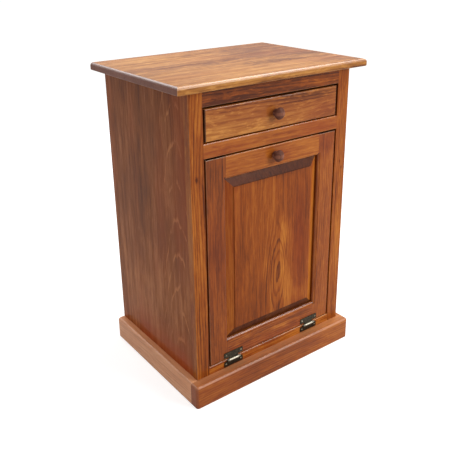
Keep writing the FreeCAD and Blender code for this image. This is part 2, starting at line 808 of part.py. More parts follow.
save("top_board", top_board())
save("back_panel", back_panel())
save("floor_panel", floor_panel())
save("floor_strips", floor_strips())
save("front_top_cleat", top_cleat(frame_back_y, frame_back_y + front_cleat_width))
save("rear_top_cleat", top_cleat(back_inner_y - rear_cleat_width, back_inner_y))
save("top_screws", screws_at(top_screw_seats, Z_AXIS, wood_screw, top_screw_length))
save("frame_top_rail", top_rail())
save("frame_mid_rail", mid_rail())
save("frame_bottom_rail", bottom_rail())
save("base_front_board", base_front_board())
save("drawer_stop_blocks", drawer_stop_blocks())
save("magnetic_catch", magnetic_catch())
save("catch_screws", screws_at(catch_screw_seats, -Y_AXIS, small_screw, catch_screw_length))
save("hinge_case_screws", screws_at(hinge_screw_seats(-1), Y_AXIS, small_screw, hinge_screw_length))

save("drawer_front", drawer_front())
save("drawer_back", drawer_back())
save("drawer_bottom", drawer_bottom())
save("drawer_knob", knob(face_y, drawer_knob_z))
save("drawer_knob_screw", screw(drawer_knob_seat, -Y_AXIS, knob_screw, knob_screw_length))
save("drawer_stop_tab", drawer_stop_tab())
save("drawer_stop_screw", screw(tab_screw_seat, -Y_AXIS, small_screw, tab_screw_length))

door = door_frame()
save("door_top_rail", door_rail(door, panel_z1, door_z1))
save("door_bottom_rail", door_rail(door, door_z0, panel_z0))
save("door_panel", door_panel())
save("door_knob", knob(face_y, door_knob_z))
save("door_knob_screw", screw(door_knob_seat, -Y_AXIS, knob_screw, door_knob_screw_length))
save("hinge_door_screws", screws_at(hinge_screw_seats(1), Y_AXIS, small_screw, hinge_screw_length))
save("strike_plate", strike_plate())
save("strike_screws", strike_screws())
save("bin_shelf", carrier_shelf_board())
save("bin_rear_rail", carrier_rear_rail())
save("waste_bin", waste_bin())

for name, side in SIDES:
    hinge_centre = side * hinge_x
    save("side_panel_" + name, side_panel(side))
    save("frame_stile_" + name, frame_stile(side))
    save("base_side_board_" + name, base_side_board(side))
    save("drawer_runner_" + name, drawer_runner(side))
    save("drawer_kicker_" + name, drawer_kicker(side))
    save("hinge_case_leaf_" + name, hinge_leaf(hinge_centre, -1))
    save("hinge_pin_" + name, hinge_pin(hinge_centre))
    save("drawer_side_" + name, drawer_side(side))
    save("door_stile_" + name, door_stile(door, side))
    save("hinge_door_leaf_" + name, hinge_leaf(hinge_centre, 1))
    save("bin_cheek_" + name, cheek(side))
    save("cheek_batten_" + name, cheek_batten(side))
    save("batten_screws_" + name, screws_at(batten_screw_seats(side), -Y_AXIS, wood_screw, batten_screw_length))

print("hinge axis y %.3f z %.3f, drawer travel %.2f" % (axis_y, axis_z, drawer_travel))
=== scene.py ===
# %% [markdown]
# The tilt-out trash cabinet is a small pine kitchen cabinet with a drawer, and below it a door that tips
# forward on two hinges with the waste bin behind it. Its boards, joints and hardware come from the CAD model
# at their real size, in metres. The box of that model is kept, so that the end can show that nothing grew.

# %% Load the cabinet
import math

import bmesh
import bpy
from mathutils import Matrix, Quaternion, Vector


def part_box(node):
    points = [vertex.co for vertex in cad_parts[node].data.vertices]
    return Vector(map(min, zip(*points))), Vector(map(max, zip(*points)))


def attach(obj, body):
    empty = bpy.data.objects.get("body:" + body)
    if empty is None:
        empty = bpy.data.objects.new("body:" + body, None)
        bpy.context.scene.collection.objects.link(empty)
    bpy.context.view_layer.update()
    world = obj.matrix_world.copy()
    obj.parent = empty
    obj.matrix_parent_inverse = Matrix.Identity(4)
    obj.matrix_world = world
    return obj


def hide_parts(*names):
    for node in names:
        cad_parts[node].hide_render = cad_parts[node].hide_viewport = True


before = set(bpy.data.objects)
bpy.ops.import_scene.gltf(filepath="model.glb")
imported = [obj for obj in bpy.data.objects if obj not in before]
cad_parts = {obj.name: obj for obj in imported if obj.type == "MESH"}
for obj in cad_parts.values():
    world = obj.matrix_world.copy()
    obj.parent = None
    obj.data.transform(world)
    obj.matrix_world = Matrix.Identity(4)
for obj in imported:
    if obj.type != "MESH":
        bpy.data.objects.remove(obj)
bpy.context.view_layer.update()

# %% [markdown]
# The camera stands at the left of the front, a little above the top board. It could be placed by eye, but the
# corners of the cabinet in the picture give the angle, the distance and the lens, so those numbers are used. A
# small turn about its own axis makes the cabinet's upright edges lean as they do there.

# %% Camera
azimuth = math.radians(-36.56)
elevation = math.radians(21.02)
roll = math.radians(-0.69)
distance = 1.7512
aim = Vector((0.0064, 0.0140, 0.4514))

to_camera = Vector((math.sin(azimuth) * math.cos(elevation),
                    -math.cos(azimuth) * math.cos(elevation),
                    math.sin(elevation)))
lens = bpy.data.cameras.new("camera")
lens.sensor_width = 36
lens.lens = 49.62
lens.shift_y = -0.08
camera = bpy.data.objects.new("camera", lens)
camera.location = aim + to_camera * distance
camera.rotation_mode = "QUATERNION"
camera.rotation_quaternion = (-to_camera).to_track_quat("-Z", "Y") @ Quaternion((0, 0, 1), roll)
scene = bpy.context.scene
scene.collection.objects.link(camera)
scene.camera = camera
scene.view_settings.view_transform = "Standard"
print("camera at", [round(value, 3) for value in camera.location])

# %% [markdown]
# Every finish below is a small tree of nodes, and most of its nodes are placed in the same way: make it, set a
# few of its sockets, and link the others. One helper does that for any node, and short ones for the kinds that
# come again and again keep the later cells easy to read.

# %% Helpers for nodes
def add_node(tree, kind, sockets=None, **settings):
    """A new node with its settings; a socket is given a value, or another node's output to link."""
    made = tree.nodes.new("ShaderNode" + kind)
    for name, value in settings.items():
        setattr(made, name, value)
    for socket, value in (sockets or {}).items():
        if isinstance(value, bpy.types.NodeSocket):
            tree.links.new(value, made.inputs[socket])
        else:
            made.inputs[socket].default_value = value
    return made


def maths(tree, operation, *values, clamp=False):
    return add_node(tree, "Math", dict(enumerate(values)), operation=operation, use_clamp=clamp).outputs[0]


def vectors(tree, operation, *values):
    made = add_node(tree, "VectorMath", dict(enumerate(values)), operation=operation)
    return made.outputs["Value" if operation in ("LENGTH", "DOT_PRODUCT") else "Vector"]


def parts(tree, vector):
    """The X, Y and Z of a vector, by name."""
    return add_node(tree, "SeparateXYZ", {0: vector}).outputs


def ease(tree, value, start, end):
    """0 before start, 1 after end, and a smooth climb between them."""
    made = add_node(tree, "MapRange", {"Value": value, "From Min": start, "From Max": end},
                    interpolation_type="SMOOTHSTEP")
    return made.outputs[0]


def mix(tree, factor, first, second):
    made = add_node(tree, "Mix", {0: factor, 6: first, 7: second}, data_type="RGBA")
    return made.outputs[2]


def noise(tree, vector, stretch, detail=2.0, roughness=0.5, output="Fac"):
    """Noise whose grain has a number of waves a metre along each axis."""
    placed = vectors(tree, "MULTIPLY", vector, stretch)
    made = add_node(tree, "TexNoise", {"Vector": placed, "Scale": 1.0, "Detail": detail, "Roughness": roughness})
    return made.outputs[output]


print("node helpers ready")

# %% [markdown]
# An effect that many finishes share is a node group, built once with named sockets. Two helpers make a group and
# place it in a material. Colours are easier to write as screen values, so another helper turns those into the
# linear numbers that nodes work in.

# %% Helpers for groups and colours
def new_group(name, inputs, outputs):
    """A node group, with its input and output sockets by name."""
    group = bpy.data.node_groups.new(name, "ShaderNodeTree")
    for socket, (kind, start) in inputs.items():
        made = group.interface.new_socket(socket, in_out="INPUT", socket_type="NodeSocket" + kind)
        if start is not None:
            made.default_value = start
    for socket, kind in outputs.items():
        group.interface.new_socket(socket, in_out="OUTPUT", socket_type="NodeSocket" + kind)
    return group, group.nodes.new("NodeGroupInput").outputs, group.nodes.new("NodeGroupOutput").inputs


def place_group(tree, group, sockets):
    return add_node(tree, "Group", sockets, node_tree=group).outputs


def new_material(name):
    """A material with its tree, its shader and the object coordinates of the surface."""
    material = bpy.data.materials.new(name)
    material.use_nodes = True
    tree = material.node_tree
    return material, tree, tree.nodes["Principled BSDF"], add_node(tree, "TexCoord").outputs["Object"]


def paint(red, green, blue):
    """A screen colour, 0 to 255, as a linear colour."""
    linear = [value / 255 / 12.92 if value <= 10 else ((value / 255 + 0.055) / 1.055) ** 2.4
              for value in (red, green, blue)]
    return (*linear, 1.0)


def dress(material, *nodes):
    """Puts a material on CAD pieces in place of the plain one that they came with."""
    for name in nodes:
        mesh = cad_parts[name].data
        mesh.materials.clear()
        mesh.materials.append(material)


print("group helpers ready")

# %% [markdown]
# The room is a pale floor under an even white sky. They could be made white with more light, but that would burn
# out the wood. Light Path tells whether the camera or a reflection is looking, so only then are they white, and
# the cabinet is lit at a plain level. The floor glows a little less near the cabinet, so that its shadow stays.

# %% Sky and floor
def seen_directly(tree):
    """1 where a camera ray, a reflection or a ray through glass looks at it, and 0 for light that it gives."""
    path = add_node(tree, "LightPath").outputs
    either = maths(tree, "MAXIMUM", path["Is Camera Ray"], path["Is Glossy Ray"])
    return maths(tree, "MAXIMUM", either, path["Is Transmission Ray"])


sky_level = 0.42
near_glow = 0.68
far_glow = 0.80
floor_reach = 40
floor_drop = 0.0006

sky = bpy.data.worlds.new("studio_sky")
sky.use_nodes = True
scene.world = sky
sky_tree = sky.node_tree
sky_strength = maths(sky_tree, "MULTIPLY_ADD", seen_directly(sky_tree), 1 - sky_level, sky_level)
sky_tree.nodes["Background"].inputs["Color"].default_value = (1, 1, 1, 1)
sky_tree.links.new(sky_strength, sky_tree.nodes["Background"].inputs["Strength"])

floor_paint, floor_tree, floor_shader, floor_point = new_material("floor_paint")
floor_shader.inputs["Base Color"].default_value = (0.6, 0.6, 0.6, 1)
floor_shader.inputs["Roughness"].default_value = 1.0
floor_shader.inputs["Specular IOR Level"].default_value = 0.0
floor_shader.inputs["Emission Color"].default_value = (1, 1, 1, 1)
far_away = ease(floor_tree, vectors(floor_tree, "LENGTH", floor_point), 0.7, 3.0)
floor_glow = maths(floor_tree, "MULTIPLY_ADD", far_away, far_glow - near_glow, near_glow)
floor_glow = maths(floor_tree, "MULTIPLY", seen_directly(floor_tree), floor_glow)
floor_tree.links.new(floor_glow, floor_shader.inputs["Emission Strength"])

shape = bmesh.new()
bmesh.ops.create_grid(shape, x_segments=1, y_segments=1, size=floor_reach)
bmesh.ops.translate(shape, verts=shape.verts, vec=(0, 0, -floor_drop))
floor_mesh = bpy.data.meshes.new("floor")
shape.to_mesh(floor_mesh)
shape.free()
floor = bpy.data.objects.new("floor", floor_mesh)
floor.data.materials.append(floor_paint)
scene.collection.objects.link(floor)
print("sky level", sky_level, "floor glow", near_glow, "to", far_glow)

# %% [markdown]
# Three soft lamps light the cabinet, as in a studio. A long one hangs above at the right, from front to back, where
# the rounded edges of the top, the rails and the base mirror it to the camera as bright lines. Another long one
# behind does the same for the edges at the left end and lights the back. The third stands in front at the right.

# %% Lamps
def soft_lamp(name, place, target, size, power):
    lamp = bpy.data.lights.new(name, "AREA")
    lamp.shape = "RECTANGLE"
    lamp.size, lamp.size_y = size
    lamp.energy = power
    made = bpy.data.objects.new(name, lamp)
    made.location = place
    made.rotation_mode = "QUATERNION"
    made.rotation_quaternion = (Vector(target) - Vector(place)).to_track_quat("-Z", "Y")
    scene.collection.objects.link(made)


soft_lamp("lamp_above", place=(1.6, -0.2, 2.9), target=(0, -0.2, 0.7), size=(2.4, 1.1), power=60)
soft_lamp("lamp_front", place=(1.7, -2.9, 2.0), target=(0, 0, 0.45), size=(1.6, 1.6), power=62)
soft_lamp("lamp_behind", place=(-0.3, 2.3, 2.5), target=(-0.3, 0, 0.7), size=(1.8, 1.2), power=34)

# %% [markdown]
# Pine shows its growth rings. On a board's face they are long arches and ovals, at its edges close straight
# lines, and on its ends arcs. Painted stripes would only fit one face, so the rings are made in the solid: the
# distance from the tree's heart, which bends a little and tapers, is counted in ring widths. Where a branch once
# stood near, the rings bulge, and a cut through the bulge shows nested ovals like an eye, so a bell-shaped lift
# of that distance round one place makes an eye, and its rings are drawn darker.

# %% Group for a pine board: the rings
pine_board, given, gives = new_group("pine_board", {
    "Vector": ("Vector", None),
    "Grain": ("Vector", (0, 0, 1)),
    "Light": ("Color", (0.5, 0.3, 0.1, 1)),
    "Middle": ("Color", (0.3, 0.15, 0.05, 1)),
    "Dark": ("Color", (0.1, 0.05, 0.02, 1)),
    "Red": ("Color", (0.3, 0.05, 0.02, 1)),
    "End": ("Color", (0.1, 0.06, 0.04, 1)),
    "Ring Width": ("Float", 0.006),
    "Taper": ("Float", 0.012),
    "Wander": ("Float", 0.03),
    "Ripple": ("Float", 0.004),
    "Eye Place": ("Vector", (0, 0, 0)),
    "Eye Size": ("Vector", (1, 1, 1)),
    "Eye Lift": ("Float", 0.0),
    "Rings": ("Float", 0.3),
    "Wisps": ("Float", 0.0),
    "Streaks": ("Float", 0.25),
    "Blotches": ("Float", 0.2),
    "Flecks": ("Float", 0.15),
    "Tone": ("Float", 0.0),
    "Flush": ("Float", 0.0),
}, {"Color": "Color", "Roughness": "Float", "Height": "Float"})
tree = pine_board
in_log = given["Vector"]

drift = vectors(tree, "SUBTRACT", noise(tree, in_log, (8, 8, 1.3), 1.0, output="Color"), (0.5, 0.5, 0.5))
wander = add_node(tree, "VectorMath", {0: drift, "Scale": given["Wander"]}, operation="SCALE").outputs[0]
from_heart = vectors(tree, "ADD", in_log, wander)
radius = vectors(tree, "LENGTH", vectors(tree, "MULTIPLY", from_heart, (1, 1, 0)))
radius = maths(tree, "MULTIPLY_ADD", parts(tree, in_log)["Z"], given["Taper"], radius)
ripple = maths(tree, "SUBTRACT", noise(tree, in_log, (60, 60, 9), 3.0), 0.5)
radius = maths(tree, "MULTIPLY_ADD", ripple, given["Ripple"], radius)

from_eye = vectors(tree, "DIVIDE", vectors(tree, "SUBTRACT", in_log, given["Eye Place"]), given["Eye Size"])
eye = maths(tree, "EXPONENT", maths(tree, "MULTIPLY", vectors(tree, "DOT_PRODUCT", from_eye, from_eye), -1.0))
radius = maths(tree, "MULTIPLY_ADD", eye, given["Eye Lift"], radius)

ring_count = maths(tree, "DIVIDE", radius, given["Ring Width"])
ring_part = maths(tree, "FRACT", ring_count)
ring_number = maths(tree, "FLOOR", ring_count)
ring_year = add_node(tree, "TexWhiteNoise", {"W": ring_number}, noise_dimensions="1D").outputs[0]
late = maths(tree, "SUBTRACT", ease(tree, ring_part, 0.4, 0.85), ease(tree, ring_part, 0.9, 1.0))
late = maths(tree, "MULTIPLY", late, maths(tree, "MULTIPLY_ADD", ring_year, 0.7, 0.3))
eye_depth = 40.0
ring_depth = maths(tree, "MULTIPLY", eye, maths(tree, "ABSOLUTE", given["Eye Lift"]))
ring_depth = maths(tree, "MULTIPLY_ADD", ring_depth, eye_depth, given["Rings"])
print("rings:", len(tree.nodes), "nodes")

# %% [markdown]
# Over the rings lie the things that stain brings out: long streaks, soft blotches, fine fibres, short pale flecks
# and dark pores, and in the middle of a wide board pale wisps where a ring surfaces. All of them move one number,
# the tone, and a ramp of three colours from golden to dark brown is read with it. A red flush comes and goes in
# wide areas. The ends of a board drink more stain, so they are darker, and the rings cross them in close lines.

# %% Group for a pine board: the stain
wave = vectors(tree, "SUBTRACT", noise(tree, in_log, (12, 12, 7), 2.0, output="Color"), (0.5, 0.5, 0.5))
waved = vectors(tree, "MULTIPLY_ADD", wave, (0.012, 0.012, 0.0), from_heart)
streak = ease(tree, noise(tree, waved, (85, 85, 4.0), 5.0, 0.62), 0.3, 0.7)
blotch = ease(tree, noise(tree, waved, (20, 20, 6), 4.0), 0.3, 0.7)
fibre = ease(tree, noise(tree, waved, (300, 300, 12), 4.0, 0.6), 0.38, 0.62)
curl = vectors(tree, "MULTIPLY_ADD", wave, (0.03, 0.03, 0.0), waved)
fleck = ease(tree, noise(tree, curl, (130, 130, 30), 4.0, 0.65), 0.48, 0.68)
pores = ease(tree, noise(tree, waved, (240, 240, 30), 2.0), 0.58, 0.7)
wisp = maths(tree, "SUBTRACT", ease(tree, ring_part, 0.0, 0.05), ease(tree, ring_part, 0.05, 0.2))
near_middle = ease(tree, maths(tree, "ABSOLUTE", parts(tree, in_log)["X"]), 0.11, 0.05)
wisp = maths(tree, "MULTIPLY", wisp, near_middle)
wisp = maths(tree, "MULTIPLY", wisp, ease(tree, noise(tree, in_log, (30, 30, 12), 4.0), 0.45, 0.6))

fibre_depth = 0.2
pore_depth = 0.12
tone = maths(tree, "ADD", given["Tone"], 0.5)
for amount, strength in ((maths(tree, "SUBTRACT", late, 0.3), ring_depth),
                         (maths(tree, "SUBTRACT", streak, 0.5), given["Streaks"]),
                         (maths(tree, "SUBTRACT", blotch, 0.5), given["Blotches"]),
                         (maths(tree, "MULTIPLY", wisp, -1.0), given["Wisps"]),
                         (maths(tree, "SUBTRACT", 0.3, fleck), given["Flecks"]),
                         (maths(tree, "SUBTRACT", fibre, 0.5), fibre_depth),
                         (pores, pore_depth)):
    tone = maths(tree, "MULTIPLY_ADD", amount, strength, tone)
pale_half = mix(tree, maths(tree, "MULTIPLY", tone, 2.0, clamp=True), given["Light"], given["Middle"])
face = mix(tree, maths(tree, "MULTIPLY_ADD", tone, 2.0, -1.0, clamp=True), pale_half, given["Dark"])
flush = ease(tree, noise(tree, in_log, (11, 11, 2.0), 2.0), 0.45, 0.75)
flush = maths(tree, "MULTIPLY_ADD", flush, 0.35, given["Flush"], clamp=True)
face = mix(tree, flush, face, given["Red"])

facing = vectors(tree, "DOT_PRODUCT", add_node(tree, "TexCoord").outputs["Normal"], given["Grain"])
end_mask = ease(tree, maths(tree, "ABSOLUTE", facing), 0.1, 0.4)
end_line = maths(tree, "MULTIPLY", maths(tree, "PINGPONG", ring_count, 0.25), 4.0)
end_tone = maths(tree, "MULTIPLY_ADD", end_line, 0.5, maths(tree, "MULTIPLY", blotch, 0.3))
end_deep = vectors(tree, "MULTIPLY", given["End"], (0.42, 0.4, 0.4))
end_shade = mix(tree, maths(tree, "MULTIPLY_ADD", fibre, 0.2, end_tone, clamp=True), given["End"], end_deep)
tree.links.new(mix(tree, maths(tree, "MULTIPLY", end_mask, 0.9), face, end_shade), gives["Color"])
gloss = maths(tree, "MULTIPLY_ADD", streak, 0.1, maths(tree, "MULTIPLY_ADD", end_mask, 0.12, 0.36))
tree.links.new(gloss, gives["Roughness"])
tree.links.new(maths(tree, "MULTIPLY_ADD", late, 0.6, maths(tree, "MULTIPLY", fibre, 0.4)), gives["Height"])
print("pine_board:", len(tree.nodes), "nodes")

# %% [markdown]
# Stain never takes evenly. A board has darker and lighter places of its own, and a knot is a very small dark one.
# A group gives a soft patch with a ragged outline round a place, and each board gets the few that it shows.

# %% Group for a patch of stain
stain_patch, given, gives = new_group("stain_patch", {
    "Vector": ("Vector", None),
    "Place": ("Vector", (0, 0, 0)),
    "Size": ("Vector", (0.1, 0.1, 0.1)),
}, {"Mask": "Float"})
tree = stain_patch
away = vectors(tree, "DIVIDE", vectors(tree, "SUBTRACT", given["Vector"], given["Place"]), given["Size"])
rag = vectors(tree, "SUBTRACT", noise(tree, away, (1.7, 1.7, 1.7), 3.0, output="Color"), (0.5, 0.5, 0.5))
away = vectors(tree, "ADD", away, rag)
bell = maths(tree, "EXPONENT", maths(tree, "MULTIPLY", vectors(tree, "DOT_PRODUCT", away, away), -1.0))
tree.links.new(bell, gives["Mask"])
print("stain_patch:", len(tree.nodes), "nodes")

# %% [markdown]
# Along a board's sharp edges the sanding block and years of hands leave the finish thin, so they are paler, and
# this pale line is also a painted highlight along each arris. A bevel in the shader could find the edges, but
# every board here is a box, so it is enough to know its two corners: a point is on an edge where it lies close to
# two of the box's faces at once.

# %% Group for worn edges with painted highlights
worn_edges_and_highlights, given, gives = new_group("worn_edges_and_highlights", {
    "Vector": ("Vector", None),
    "Low": ("Vector", (0, 0, 0)),
    "High": ("Vector", (1, 1, 1)),
    "Width": ("Float", 0.0016),
}, {"Mask": "Float"})
tree = worn_edges_and_highlights
to_faces = vectors(tree, "MINIMUM", vectors(tree, "SUBTRACT", given["Vector"], given["Low"]),
                   vectors(tree, "SUBTRACT", given["High"], given["Vector"]))
gap = parts(tree, to_faces)
nearer = maths(tree, "MINIMUM", gap["X"], gap["Y"])
farther = maths(tree, "MAXIMUM", gap["X"], gap["Y"])
second = maths(tree, "MAXIMUM", nearer, maths(tree, "MINIMUM", farther, gap["Z"]))
uneven = maths(tree, "MULTIPLY_ADD", noise(tree, given["Vector"], (45, 45, 45), 3.0), 1.6, 0.2)
reach = maths(tree, "MULTIPLY", given["Width"], uneven)
on_edge = maths(tree, "SUBTRACT", 1.0, maths(tree, "DIVIDE", second, reach), clamp=True)
tree.links.new(on_edge, gives["Mask"])
print("worn_edges_and_highlights:", len(tree.nodes), "nodes")

# %% [markdown]
# Lacquer draws together on the rounded upper edges, so they shine more than the flat faces beside them. It runs off
# the lower ones, and the ends of a board drink part of it. On a flat face of this square cabinet one part of the
# normal is 1, and on a rounding it is less, which is an easy test.

# %% Group for rounded edges
rounded_edges, given, gives = new_group("rounded_edges", {
    "Flat": ("Float", 0.2),
    "Round": ("Float", 0.9),
    "Grain": ("Vector", (0, 0, 1)),
}, {"Coat": "Float"})
tree = rounded_edges
normal = add_node(tree, "TexCoord").outputs["Normal"]
turned = parts(tree, vectors(tree, "ABSOLUTE", normal))
straight = maths(tree, "MAXIMUM", maths(tree, "MAXIMUM", turned["X"], turned["Y"]), turned["Z"])
rounding = maths(tree, "SUBTRACT", 1.0, ease(tree, straight, 0.90, 0.985))
bead = maths(tree, "MULTIPLY", rounding, ease(tree, parts(tree, normal)["Z"], -0.1, 0.3))
facing = maths(tree, "ABSOLUTE", vectors(tree, "DOT_PRODUCT", normal, given["Grain"]))
drunk = maths(tree, "MULTIPLY", ease(tree, facing, 0.15, 0.5), 0.4)
bead = maths(tree, "MULTIPLY", bead, maths(tree, "SUBTRACT", 1.0, drunk))
more = maths(tree, "MULTIPLY", bead, maths(tree, "SUBTRACT", given["Round"], given["Flat"]))
tree.links.new(maths(tree, "ADD", more, given["Flat"]), gives["Coat"])
print("rounded_edges:", len(tree.nodes), "nodes")

# %% [markdown]
# A stained board is the pine group under a satin lacquer, which is the shader's coat: a clear layer whose gloss is
# the same all over, so that number is set on the shader and is not linked. Each board has its own log, which is a
# place for the tree's heart in the cabinet's own frame and the direction of the grain, its own patches, and its
# own pale edges, worn and painted as a highlight, but none where it is joined to another board. Inside the narrow
# gaps round the drawer and the door the wood is darkened by painted shade.

# %% Lacquered boards
grain_axis = {"X": (1, 0, 0), "Y": (0, 1, 0), "Z": (0, 0, 1)}
# The turn that lays a log along each axis.
grain_turn = {
    "X": Matrix(((0, 0, 1), (1, 0, 0), (0, 1, 0))).to_euler(),
    "Y": Matrix(((0, 1, 0), (0, 0, 1), (1, 0, 0))).to_euler(),
    "Z": Matrix.Rotation(math.pi / 2, 3, "Z").to_euler(),
}
# The pale of worn edges; on the edges it is also a painted highlight, and on the base ledges painted light.
bare_edge_and_light = paint(216, 160, 116)
# Painted shade for the narrow gaps of the front.
gap_shade_colour = paint(34, 16, 9)
gap_shade_strength = 0.45
gap_mouth_y = -0.1792
gap_end_y = -0.172
opening_x = 0.222
stile_x = 0.232


def link_look(tree, shader, colour, look, strength, depth):
    """Links a colour, and a look's roughness and height, to a shader; depth is that of the bump in metres."""
    bump = add_node(tree, "Bump", {"Strength": strength, "Distance": depth, "Height": look["Height"]})
    for socket, value in (("Base Color", colour), ("Roughness", look["Roughness"]), ("Normal", bump.outputs[0])):
        tree.links.new(value, shader.inputs[socket])


def gap_shade_amount(tree, point):
    """How much painted shade darkens the wood: most in the gaps of the front, none on its face or outside the case.
    """
    place = parts(tree, point)
    deep = ease(tree, place["Y"], gap_mouth_y, gap_end_y)
    outside = ease(tree, maths(tree, "ABSOLUTE", place["X"]), opening_x, stile_x)
    behind = ease(tree, parts(tree, add_node(tree, "TexCoord").outputs["Normal"])["Y"], 0.3, 0.8)
    open_side = maths(tree, "SUBTRACT", 1.0, maths(tree, "MAXIMUM", outside, behind))
    return maths(tree, "MULTIPLY", maths(tree, "MULTIPLY", deep, open_side), gap_shade_strength)


def board_finish(board, stain, grain, heart, patches=(), scuffs=(), tone=0.0, flush=0.0, wear=0.5, joined="",
                 gapped=False, **figure):
    """A pine board's material, still without lacquer.

    A stain is five colours (light, middle, dark, red, end grain). A patch is a place, a size, and how much darker
    and redder it is. A pale mark is a place, a size and how pale it is; on the base ledges these are painted light.
    """
    material, tree, shader, point = new_material(board + "_finish")
    log = add_node(tree, "Mapping", {"Vector": point, "Location": heart, "Rotation": grain_turn[grain]},
                   vector_type="TEXTURE")
    for place, size, darker, redder in patches:
        mask = place_group(tree, stain_patch, {"Vector": point, "Place": place, "Size": size})["Mask"]
        tone = maths(tree, "MULTIPLY_ADD", mask, darker, tone)
        if redder:
            flush = maths(tree, "MULTIPLY_ADD", mask, redder, flush)
    sockets = {"Vector": log.outputs[0], "Grain": grain_axis[grain], "Tone": tone, "Flush": flush}
    sockets.update(zip(("Light", "Middle", "Dark", "Red", "End"), stain))
    sockets.update({key.replace("_", " ").title(): value for key, value in figure.items()})
    wood = place_group(tree, pine_board, sockets)
    colour = wood["Color"]
    # Painted shade in the narrow gaps of the front.
    if gapped:
        colour = mix(tree, gap_shade_amount(tree, point), colour, gap_shade_colour)
    if wear:
        # A joined face is moved a metre away, so that no edge is found there.
        low, high = (list(corner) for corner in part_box(board))
        for axis, letter in enumerate("xyz"):
            low[axis] -= letter + "-" in joined
            high[axis] += letter + "+" in joined
        edge = place_group(tree, worn_edges_and_highlights, {"Vector": point, "Low": low, "High": high})["Mask"]
        colour = mix(tree, maths(tree, "MULTIPLY", edge, wear), colour, bare_edge_and_light)
    # Pale marks; those on the base ledges are painted light.
    for place, size, amount in scuffs:
        mask = place_group(tree, stain_patch, {"Vector": point, "Place": place, "Size": size})["Mask"]
        colour = mix(tree, maths(tree, "MULTIPLY", mask, amount), colour, bare_edge_and_light)
    link_look(tree, shader, colour, wood, strength=0.25, depth=0.0003)
    return material, shader


def lacquered(board, stain, grain, heart, coat=0.2, bead=0.9, shine=0.06, blur=0.18, coat_ior=1.5, **figure):
    """Dresses one board in stained pine under lacquer, with a bead of lacquer on its rounded edges."""
    material, shader = board_finish(board, stain, grain, heart, **figure)
    tree = material.node_tree
    if bead == coat:
        shader.inputs["Coat Weight"].default_value = coat
    else:
        layer = place_group(tree, rounded_edges, {"Flat": coat, "Round": bead, "Grain": grain_axis[grain]})["Coat"]
        tree.links.new(layer, shader.inputs["Coat Weight"])
    shader.inputs["Specular IOR Level"].default_value = shine
    shader.inputs["Coat Roughness"].default_value = blur
    shader.inputs["Coat IOR"].default_value = coat_ior
    dress(material, board)


print("lacquer ready")

# %% [markdown]
# On the top the grain runs from end to end, in a lighter honey tone than on the rest. A browner band runs along
# its middle, its right end is darker, and its back right corner is red-brown.

# %% Top board
honey = (paint(208, 148, 78), paint(176, 114, 52), paint(104, 56, 26), paint(168, 95, 46), paint(150, 100, 88))
lacquered("top_board", honey, "X", (0.4, 0.30, 0.70), patches=(
    ((-0.08, 0.015, 0.8), (0.34, 0.034, 1.0), 0.26, 0.12),
    ((0.20, 0.125, 0.8), (0.16, 0.085, 1.0), 0.30, 0.18),
    ((-0.05, -0.150, 0.8), (0.45, 0.070, 1.0), -0.20, 0.0),
    ((-0.17, 0.120, 0.8), (0.14, 0.060, 1.0), -0.2, 0.0),
    ((0.23, -0.100, 0.8), (0.15, 0.130, 1.0), 0.26, 0.05),
), tone=0.04, ring_width=0.008, wander=0.05, rings=0.3, streaks=0.45, blotches=0.3, flecks=0.4, coat=0.16,
    bead=0.9, blur=0.3, coat_ior=1.65)
print("top dressed")

# %% [markdown]
# The sides are wide upright boards. Near the front of the left one the rings run out in pale arches, one above
# the other, because its log tapers upwards. Both are painted lighter low down, a painted sheen, and each foot,
# the left one most, is painted red, a painted warm reflection. The stain's light colour is greyed a little for
# the same painted sheen.

# %% Side panels
umber = (paint(188, 116, 66), paint(142, 76, 28), paint(92, 46, 20), paint(172, 72, 28), paint(70, 40, 28))
side_logs = {"left": ((-0.09, -0.115, 0.1), 0.7), "right": ((0.09, 0.06, 0.7), 0.2)}
# Lighter patches low down are painted sheen, and the red at the foot is a painted reflection.
for side, (heart, foot_red_reflection) in side_logs.items():
    lacquered("side_panel_" + side, umber, "Z", heart, patches=(
        ((heart[0], 0.09, 0.20), (1.0, 0.17, 0.14), -0.28, 0.0),
        ((heart[0], -0.09, 0.065), (1.0, 0.25, 0.07), -0.05, foot_red_reflection),
        ((heart[0], 0.02, 0.60), (1.0, 0.05, 0.25), 0.1, 0.0),
        ((heart[0], -0.05, 0.27), (1.0, 0.12, 0.14), -0.20, 0.0),
    ), taper=0.08, wander=0.015, ripple=0.004, ring_width=0.007, rings=0.05, wisps=0.55, streaks=0.34,
        blotches=0.24, flecks=0.08, coat=0.1, shine=0.04, wear=0.0)
print("sides dressed")

# %% [markdown]
# The face frame is single boards: upright grain in the stiles, level grain in the rails. The left stile is
# streaky and has a small knot, the right one a few specks. The top rail took much stain, and the bottom rail is
# golden with dark streaks.

# %% Face frame
def spot(x, z, wide, tall, darker, redder=0.0):
    """A patch on the front of the cabinet, by its middle and its half width and height."""
    return (x, -0.18, z), (wide, 0.3, tall), darker, redder


